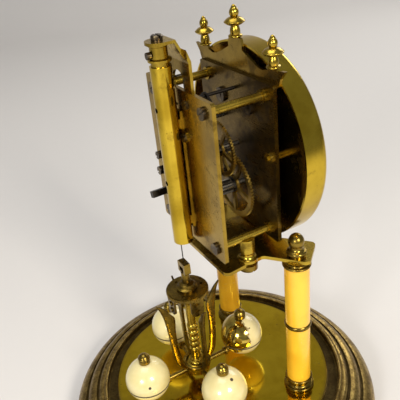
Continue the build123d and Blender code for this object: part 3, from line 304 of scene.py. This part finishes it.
def enamelBall(name, x, y, bare=None, holes=()):
    # cream enamel: a dark seam just under the middle, round dark chips (offset from the centre, radius),
    # and, where bare gives a direction, a patch worn through to brass with an edge made ragged by noise
    g = Graph(name, Coat_Weight=0.35, Coat_Roughness=0.05)
    east, north, height = g.axes(g.shifted(x, y, ballHeight))
    drift = g.noise(70.0, 5.0, 0.6)
    peel = g.noise(500.0, 2.0, 0.5)
    dirt = g.noise(260.0, 6.0, 0.7).ramp(0.60, 0.78)
    tone = g.mix(drift.ramp(0.3, 0.75), (0.80, 0.69, 0.35), (0.70, 0.58, 0.25))
    tone = g.mix(dirt * 0.25, tone, (0.36, 0.25, 0.10))
    seam = (height + 0.0021 + (drift - 0.5) * 0.0006).size().ramp(0.00075, 0.00035)
    chip = seam
    for dx, dy, dz, size in holes:
        centre = g.shifted(x + dx, y + dy, ballHeight + dz)
        away = g.node("ShaderNodeVectorMath", {"operation": "DISTANCE"}, centre, (0.0, 0.0, 0.0), out=1)
        chip = chip.high(away.ramp(size * 1.25 * mm, size * 0.85 * mm))
    tone = g.mix(chip, tone, (0.045, 0.026, 0.012))
    rough = 0.20 + drift * 0.08 + chip * 0.35 + dirt * 0.1
    if bare:
        facing = (east * bare[0] + north * bare[1] + height * bare[2]) * 1000.0
        ragged = g.noise(120.0, 5.0, 0.6) * 12.0
        metal = (facing + ragged).ramp(12.4, 12.8)
        gold = g.mix(g.noise(220.0, 4.0).ramp(0.4, 0.65), (0.62, 0.45, 0.07), (0.34, 0.22, 0.03))
        edge = (facing + ragged - 12.6).size().ramp(0.55, 0.20)
        tone = g.mix(metal * (1.0 - seam), tone, gold)
        tone = g.mix(edge * 0.7, tone, (0.16, 0.10, 0.03))
        g.set(Roughness=rough * (1.0 - metal) + metal * 0.12, Metallic=metal * (1.0 - seam))
    else:
        g.set(Roughness=rough)
    return g.set(Base_Color=tone, Normal=g.bump(peel - chip * 3.0, 0.10, 0.00012))


def screwSteel():
    # blackened screws with worn bright patches; the two nuts at the ends of the dial posts are brass
    g = Graph("screwSteel", Metallic=1.0)
    x, y, z = g.axes()
    grit = g.noise(700.0, 4.0, 0.65)
    worn = g.noise(330.0, 3.0).ramp(0.50, 0.72)
    nut = (y + 0.0235).size().ramp(0.0016, 0.0012) * x.size().ramp(0.0255, 0.0262)
    nut = nut * (z - 0.177).size().ramp(0.0045, 0.0040)
    tone = g.mix(worn, (0.085, 0.064, 0.040), (0.26, 0.20, 0.10))
    tone = g.mix(nut, tone, (0.55, 0.39, 0.07))
    rough = 0.24 + grit * 0.16 - nut * 0.06
    return g.set(Base_Color=tone, Roughness=rough, Normal=g.bump(grit, 0.25, 0.00005))


steel = darkSteel()
ivory = enamel("ivoryEnamel", (0.95, 0.54, 0.035), (0.86, 0.44, 0.022), 0.5)
dialEnamel = enamel("dialEnamel", (0.86, 0.84, 0.76), (0.80, 0.77, 0.66), 0.0)
handBlack = enamel("handBlack", (0.02, 0.02, 0.022), (0.035, 0.03, 0.03), 0.0)
dress(baseBrass(), "base_shell")
dress(discBrass(), "base_disc")
dress(ivory, "column_lower_sleeves", "column_upper_sleeves")
dress(satin, "centre_finial", "side_finials", "dial_posts", "movement_platform", "movement_posts",
      "plate_pillars", "suspension_bracket", "tube_strap", "suspension_saddle", "pendulum_column")
dress(bronze, "column_feet", "column_rings", "column_acorn_nuts", "platform_bolts", "ratchet_wheel")
dress(bronze, "pendulum_hook", "pendulum_crown", "crown_screws", "pendulum_cap", "pendulum_horns")
dress(bronze, "regulating_disc", "minute_wheel", "hour_wheel", "cannon_pinion", "suspension_fork")
dress(bronze, "ball_fittings_1", "ball_fittings_2", "ball_fittings_3", "ball_fittings_4")
dress(plateBrass, "back_plate", "dial_plate", "crown_gallery")
# painted shade: the front plate, the barrel and its cover get the darkened copy of the plate brass
dress(shadedPlateBrass, "front_plate", "mainspring_barrel", "barrel_cover")
dress(polished, "suspension_tube", "bezel")
dress(dialEnamel, "dial_face")
dress(handBlack, "hour_hand", "minute_hand")
dress(screwSteel(), "movement_screws")
dress(steel, "column_rods", "winding_arbor", "anchor", "mainspring", "click_spring", "click",
      "suspension_spring")
# each train arbor: x and z of its axis, then the radius inside which it is steel, in mm
dress(wheelBrass("secondWheel", -4.34, 155.05, 4.3), "second_wheel")
dress(wheelBrass("centreWheel", 0.0, 175.6, 3.7), "centre_wheel")
dress(wheelBrass("thirdWheel", 12.5, 187.85, 3.0), "third_wheel")
dress(wheelBrass("escapeWheel", 0.0, 196.14, 3.5), "escape_wheel")
ballPlaces = [(ballReach, pendulumAxis), (0.0, pendulumAxis + ballReach),
              (-ballReach, pendulumAxis), (0.0, pendulumAxis - ballReach)]
ballHoles = [(), ((-11.8, 3.5, 4.1, 0.8),), ((-5.9, -2.0, 11.4, 0.9),), ()]
ballWorn = [None, None, None, (-0.26, 0.84, 0.46)]
ballSkins = []
for index, (x, y) in enumerate(ballPlaces):
    ballSkins.append(enamelBall(f"enamelSkin{index + 1}", x, y, ballWorn[index], ballHoles[index]))
    dress(ballSkins[index], f"ball_{index + 1}")
print("nodes dressed")


# closed meshes from numpy rings
def gathered(name, parts, material, body, slot, *replaced):
    # parts are (points, faces) pairs, put into one mesh with running numbers
    start = 0
    points = []
    faces = []
    for partPoints, partFaces in parts:
        points.append(partPoints.reshape(-1, 3))
        faces.extend((np.asarray(face) + start).tolist() for face in partFaces)
        start += len(points[-1])
    mesh = bpy.data.meshes.new(name)
    mesh.from_pydata((np.concatenate(points) * mm).tolist(), [], faces)
    mesh.update()
    made = bpy.data.objects.new(name, mesh)
    scene.collection.objects.link(made)
    mesh.materials.append(material)
    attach(made, body)
    if replaced:
        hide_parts(*replaced)
    return made


def lofted(rings):
    # rings[row, column]: each ring is closed, the first and last are capped by one flat face each
    rows, columns = rings.shape[:2]
    index = np.arange(rows * columns).reshape(rows, columns)
    ahead = np.roll(index, -1, axis=1)
    walls = np.stack([index[:-1], ahead[:-1], ahead[1:], index[1:]], -1).reshape(-1, 4)
    return rings, list(walls) + [index[0, ::-1], index[-1]]


def ringed(rings):
    # rings[row, column] joined end to end both ways, as on a band or a ring
    rows, columns = rings.shape[:2]
    index = np.arange(rows * columns).reshape(rows, columns)
    ahead = np.roll(index, -1, axis=1)
    walls = np.stack([index, ahead, np.roll(ahead, -1, axis=0), np.roll(index, -1, axis=0)], -1)
    return rings, list(walls.reshape(-1, 4))


def smoothed(points, count):
    # Catmull-Rom curve through the points, from p1 to p2 as f goes 0 to 1:
    # P(f) = 0.5 [2 p1 + (p2 - p0) f + (2 p0 - 5 p1 + 4 p2 - p3) f^2 + (3 p1 - p0 - 3 p2 + p3) f^3]
    points = np.asarray(points, float)
    padded = np.vstack([2 * points[0] - points[1], points, 2 * points[-1] - points[-2]])
    t = np.linspace(0, len(points) - 1, count)
    start = np.minimum(t.astype(int), len(points) - 2)
    f = (t - start)[:, None]
    p0, p1, p2, p3 = (padded[start + k] for k in range(4))
    square = 2 * p0 - 5 * p1 + 4 * p2 - p3
    cube = 3 * p1 - p0 - 3 * p2 + p3
    return 0.5 * (2 * p1 + (p2 - p0) * f + square * f**2 + cube * f**3)


# horns: flat radial blades with a curled tip, one beside each ball, and the band that joins them;
# edges are (share of height, inner radius, outer radius), thick is half the blade's thickness
horn = {"edges": [(0.0, 7.0, 9.6), (0.07, 7.9, 12.6), (0.16, 9.4, 14.0), (0.34, 10.7, 15.0),
                  (0.55, 10.9, 15.7), (0.70, 10.3, 16.4), (0.765, 10.4, 16.8), (0.83, 12.6, 17.4),
                  (0.90, 14.6, 18.3), (0.96, 17.2, 19.5), (1.0, 20.0, 20.5)],
        "thick": 1.0, "lift": 0.5, "headroom": 0.2, "rows": 90, "columns": 24}
band = {"radius": 7.55, "halfWide": 0.9, "middle": 1.6, "halfTall": 1.35, "rows": 64, "columns": 20}
hornLow, hornHigh = (np.array(c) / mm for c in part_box("pendulum_horns"))
pendulumY = (hornLow[1] + hornHigh[1]) / 2


def hornBlade(quarter):
    # at each height a rounded bar: radius = middle + half width sgn(cos a)|cos a|^0.7,
    # across = thick sgn(sin a)|sin a|^0.6, thinner towards the tip
    share, inner, outer = smoothed(horn["edges"], horn["rows"]).T[:, :, None]
    a = np.linspace(0, 2 * math.pi, horn["columns"], endpoint=False)[None, :]
    radius = (inner + outer) / 2 + (outer - inner) / 2 * np.sign(np.cos(a)) * np.abs(np.cos(a)) ** 0.7
    across = horn["thick"] * np.sign(np.sin(a)) * np.abs(np.sin(a)) ** 0.6 * (1 - 0.45 * share**3)
    tall = hornHigh[2] - hornLow[2] - horn["lift"] - horn["headroom"]
    height = hornLow[2] + horn["lift"] + tall * share + 0 * a
    turn = quarter * math.pi / 2
    x = radius * math.cos(turn) - across * math.sin(turn)
    y = radius * math.sin(turn) + across * math.cos(turn) + pendulumY
    return lofted(np.stack([x, y, height], -1))


def hubRing():
    # band round the hub: rounded rectangle (radius, height) carried once round the pendulum's axis
    a = np.linspace(0, 2 * math.pi, band["rows"], endpoint=False)[:, None]
    b = np.linspace(0, 2 * math.pi, band["columns"], endpoint=False)[None, :]
    radius = band["radius"] + band["halfWide"] * np.sign(np.cos(b)) * np.abs(np.cos(b)) ** 0.5
    height = hornLow[2] + band["middle"] + band["halfTall"] * np.sign(np.sin(b)) * np.abs(np.sin(b)) ** 0.5
    x = radius * np.cos(a)
    y = radius * np.sin(a) + pendulumY
    return ringed(np.stack(np.broadcast_arrays(x, y, height), -1))


hornParts = [hornBlade(quarter) for quarter in range(4)] + [hubRing()]
horns = gathered("pendulumHorns", hornParts, bronze, "pendulum", "satin_brass", "pendulum_horns")
horns.data.polygons.foreach_set("use_smooth", np.ones(len(horns.data.polygons), bool))
print("horns made")

# balls: turned enamel shells, closed at both poles, with the joint line cut just under the middle
# (the pole is left by a small angle, and extra rows stand close together over the joint line)
ball = {"radius": 13.0, "seamDrop": 2.0, "seamDeep": 0.30, "seamHalf": 0.20, "pole": 0.01,
        "rows": 150, "seamSpan": 0.035, "seamRows": 29, "columns": 128}


def ballShell(x, y, z):
    # radius(latitude) = R cos(latitude) - depth e^-((h + drop) / half width)^4, h = R sin(latitude)
    seamAt = -math.asin(ball["seamDrop"] / ball["radius"])
    fine = seamAt + np.linspace(-ball["seamSpan"], ball["seamSpan"], ball["seamRows"])
    even = np.linspace(-math.pi / 2 + ball["pole"], math.pi / 2 - ball["pole"], ball["rows"])
    latitude = np.sort(np.concatenate([even, fine]))[:, None]
    a = np.linspace(0, 2 * math.pi, ball["columns"], endpoint=False)[None, :]
    height = ball["radius"] * np.sin(latitude)
    radius = ball["radius"] * np.cos(latitude)
    radius = radius - ball["seamDeep"] * np.exp(-(((height + ball["seamDrop"]) / ball["seamHalf"]) ** 4))
    shellX = x + radius * np.cos(a)
    shellY = y + radius * np.sin(a)
    return lofted(np.stack(np.broadcast_arrays(shellX, shellY, z + height), -1))


for index, (x, y) in enumerate(ballPlaces):
    low, high = (np.array(c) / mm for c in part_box(f"ball_{index + 1}"))
    shell = gathered(f"enamelBall{index + 1}", [ballShell(x, y, (low[2] + high[2]) / 2)], ballSkins[index],
                     f"ball_{index + 1}", "cream_enamel", f"ball_{index + 1}")
    shell.data.polygons.foreach_set("use_smooth", np.ones(len(shell.data.polygons), bool))
print("balls made")

# dial marks: generic hour numerals and minute track, raised a little from the enamel
dial = {"numeral": 35.4, "tall": 8.0, "thick": 0.62, "thin": 0.22, "gap": 0.3, "serif": 0.13, "trim": 0.25,
        "track": (40.7, 43.3), "line": 0.22, "fiveMinute": 0.42, "oneMinute": 0.14, "overlap": 0.05,
        "raise": 0.10, "sink": 0.05}
dialLow, dialHigh = (np.array(c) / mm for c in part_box("dial_face"))
dialZ = (dialLow[2] + dialHigh[2]) / 2
letterWidth = {"I": 2.2, "V": 5.0, "X": 5.0}
numerals = ["XII", "I", "II", "III", "IIII", "V", "VI", "VII", "VIII", "IX", "X", "XI"]


def numeralStrokes(text):
    # bars as (lower u, lower v, upper u, upper v, half width), letters set side by side about u = 0
    half = dial["tall"] / 2
    thick, thin = dial["thick"], dial["thin"]
    place = -sum(letterWidth[letter] for letter in text) / 2
    bars = []
    for letter in text:
        width = letterWidth[letter]
        middle = place + width / 2
        lean = width / 2 - thick - dial["gap"]
        if letter == "I":
            bars.append((middle, -half, middle, half, thick))
        elif letter == "V":
            bars.append((middle, -half, middle - lean, half, thick))
            bars.append((middle, -half, middle + lean, half, thin))
        else:
            bars.append((middle + lean, -half, middle - lean, half, thick))
            bars.append((middle - lean, -half, middle + lean, half, thin))
        place += width
    reach = sum(letterWidth[letter] for letter in text) / 2 - dial["trim"]
    serif = dial["serif"]
    return bars + [(0, side * half - serif, 0, side * half + serif, reach) for side in (-1, 1)]


def strokes(bars, angle):
    # each bar is a parallelogram in the (right, outward) frame at the clock angle, given a thickness along Y
    u0, v0, u1, v1, w = np.array(bars, float).T
    corners = np.stack([np.stack([u0 - w, v0], -1), np.stack([u0 + w, v0], -1), np.stack([u1 + w, v1], -1),
                        np.stack([u1 - w, v1], -1)], 1)
    u, v = corners[..., 0], corners[..., 1]
    x = u * math.cos(angle) + v * math.sin(angle)
    z = v * math.cos(angle) - u * math.sin(angle) + dialZ
    front = np.stack([x, np.full_like(x, dialLow[1] - dial["raise"]), z], -1)
    back = np.stack([x, np.full_like(x, dialLow[1] + dial["sink"]), z], -1)
    faces = [(0, 1, 2, 3), (7, 6, 5, 4), (0, 4, 5, 1), (1, 5, 6, 2), (2, 6, 7, 3), (3, 7, 4, 0)]
    points = np.concatenate([front, back], 1)
    return points, [np.array(face) + 8 * bar for bar in range(len(bars)) for face in faces]


def dialRing(inner, outer):
    # square band between two radii about the dial's axis
    a = np.linspace(0, 2 * math.pi, 180, endpoint=False)[:, None]
    radius = np.array([inner, outer, outer, inner])[None, :]
    depth = dialLow[1] + np.array([-dial["raise"], -dial["raise"], dial["sink"], dial["sink"]])[None, :]
    x = radius * np.sin(a)
    z = radius * np.cos(a) + dialZ
    return ringed(np.stack(np.broadcast_arrays(x, depth, z), -1))


def marks():
    inner, outer = dial["track"]
    parts = [dialRing(inner - dial["line"], inner), dialRing(outer, outer + dial["line"])]
    overlap = dial["overlap"]
    for minute in range(60):
        bold = dial["fiveMinute"] if minute % 5 == 0 else dial["oneMinute"]
        tick = (0, inner - overlap, 0, outer + overlap, bold)
        parts.append(strokes([tick], math.radians(6 * minute)))
    out = dial["numeral"]
    for hour, text in enumerate(numerals):
        bars = [(u0, v0 + out, u1, v1 + out, w) for u0, v0, u1, v1, w in numeralStrokes(text)]
        parts.append(strokes(bars, math.radians(30 * hour)))
    return parts


gathered("dialMarks", marks(), handBlack, "frame", "blued_steel")
print("dial marks made")


# stage: pale floor running up into a backdrop, soft lights
def flatMaterial(name, tone, rough):
    g = Graph(name)
    grain = g.noise(90.0, 4.0)
    colour = g.mix(grain * 0.25, tone, tuple(c * 0.93 for c in tone))
    return g.set(Base_Color=colour, Roughness=rough + grain * 0.05)


# the sweep, in metres: floor from near to far, then the bend and the wall
backdrop = {"near": -2.2, "far": 1.1, "bend": 0.5, "top": 2.6, "halfWide": 3.0}


def sweep():
    # profile y(s), z(s): flat floor, quarter circle, upright wall; carried straight across the view
    bend = backdrop["bend"]
    run = np.linspace(backdrop["near"], backdrop["far"], 12)
    turn = np.linspace(0, math.pi / 2, 24)[1:]
    rise = np.linspace(bend, backdrop["top"], 8)[1:]
    wall = np.full(len(rise), backdrop["far"] + bend)
    along = np.concatenate([run, backdrop["far"] + bend * np.sin(turn), wall])
    up = np.concatenate([np.zeros(len(run)), bend - bend * np.cos(turn), rise])
    across = np.linspace(-backdrop["halfWide"], backdrop["halfWide"], 9)
    grid = np.stack(np.broadcast_arrays(across[None, :], along[:, None], up[:, None]), -1).reshape(-1, 3)
    rows, columns = len(along), len(across)
    index = np.arange(rows * columns).reshape(rows, columns)
    faces = np.stack([index[:-1, :-1], index[:-1, 1:], index[1:, 1:], index[1:, :-1]], -1).reshape(-1, 4)
    mesh = bpy.data.meshes.new("sweep")
    mesh.from_pydata(grid.tolist(), [], faces.tolist())
    mesh.polygons.foreach_set("use_smooth", np.ones(len(faces), bool))
    made = bpy.data.objects.new("sweep", mesh)
    scene.collection.objects.link(made)
    return made


floor = sweep()
floor.rotation_euler = (0, 0, math.radians(-116.5))
floor.data.materials.append(flatMaterial("floor", (0.72, 0.685, 0.64), 0.6))
world = bpy.data.worlds.new("studio")
scene.world = world
world.use_nodes = True
world.node_tree.nodes["Background"].inputs[0].default_value = (0.90, 0.93, 1.0, 1)
world.node_tree.nodes["Background"].inputs[1].default_value = 0.26


def areaLight(name, place, aim, size, watts, tone=(1, 1, 1)):
    light = bpy.data.lights.new(name, "AREA")
    light.shape = "RECTANGLE"
    light.size, light.size_y = size
    light.energy = watts
    light.color = tone
    made = bpy.data.objects.new(name, light)
    scene.collection.objects.link(made)
    made.location = place
    made.rotation_euler = (Vector(aim) - Vector(place)).to_track_quat("-Z", "Y").to_euler()
    return made


lights = [
    areaLight("keyLight", (-0.85, -0.05, 0.62), (0, 0, 0.14), (0.22, 0.22), 7.5, (1.0, 0.95, 0.86)),
    areaLight("sideLight", (-0.55, 0.80, 0.50), (0, 0, 0.14), (0.22, 0.22), 5.0, (0.98, 0.98, 1.0)),
    areaLight("topLight", (0.15, 0.15, 1.5), (0, 0, 0.1), (0.9, 0.9), 9.0),
    areaLight("frontLight", (0.55, -1.1, 0.75), (0, 0, 0.14), (0.6, 0.6), 4.5),
]
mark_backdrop(floor, *lights)

# camera: above and behind on the -X side
yaw, pitch, roll = (math.radians(a) for a in (243.5, -29.26, -6.44))
forward = Vector((-math.sin(yaw) * math.cos(pitch), math.cos(yaw) * math.cos(pitch), math.sin(pitch)))
right = forward.cross(Vector((0, 0, 1))).normalized()
up = right.cross(forward)
tiltRight = math.cos(roll) * right + math.sin(roll) * up
tiltUp = math.cos(roll) * up - math.sin(roll) * right
camera = bpy.data.objects.new("camera", bpy.data.cameras.new("camera"))
scene.collection.objects.link(camera)
camera.data.lens = 51.6
camera.data.sensor_width = 36.0
camera.data.clip_start = 0.01
turned = Matrix((tiltRight, tiltUp, -forward)).transposed().to_4x4()
camera.matrix_world = Matrix.Translation((-0.23806, 0.12034, 0.29899)) @ turned
scene.camera = camera
scene.view_settings.view_transform = "Standard"
scene.view_settings.look = "None"
scene.view_settings.exposure = 0.0
print("stage, lights and camera set")

low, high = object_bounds()
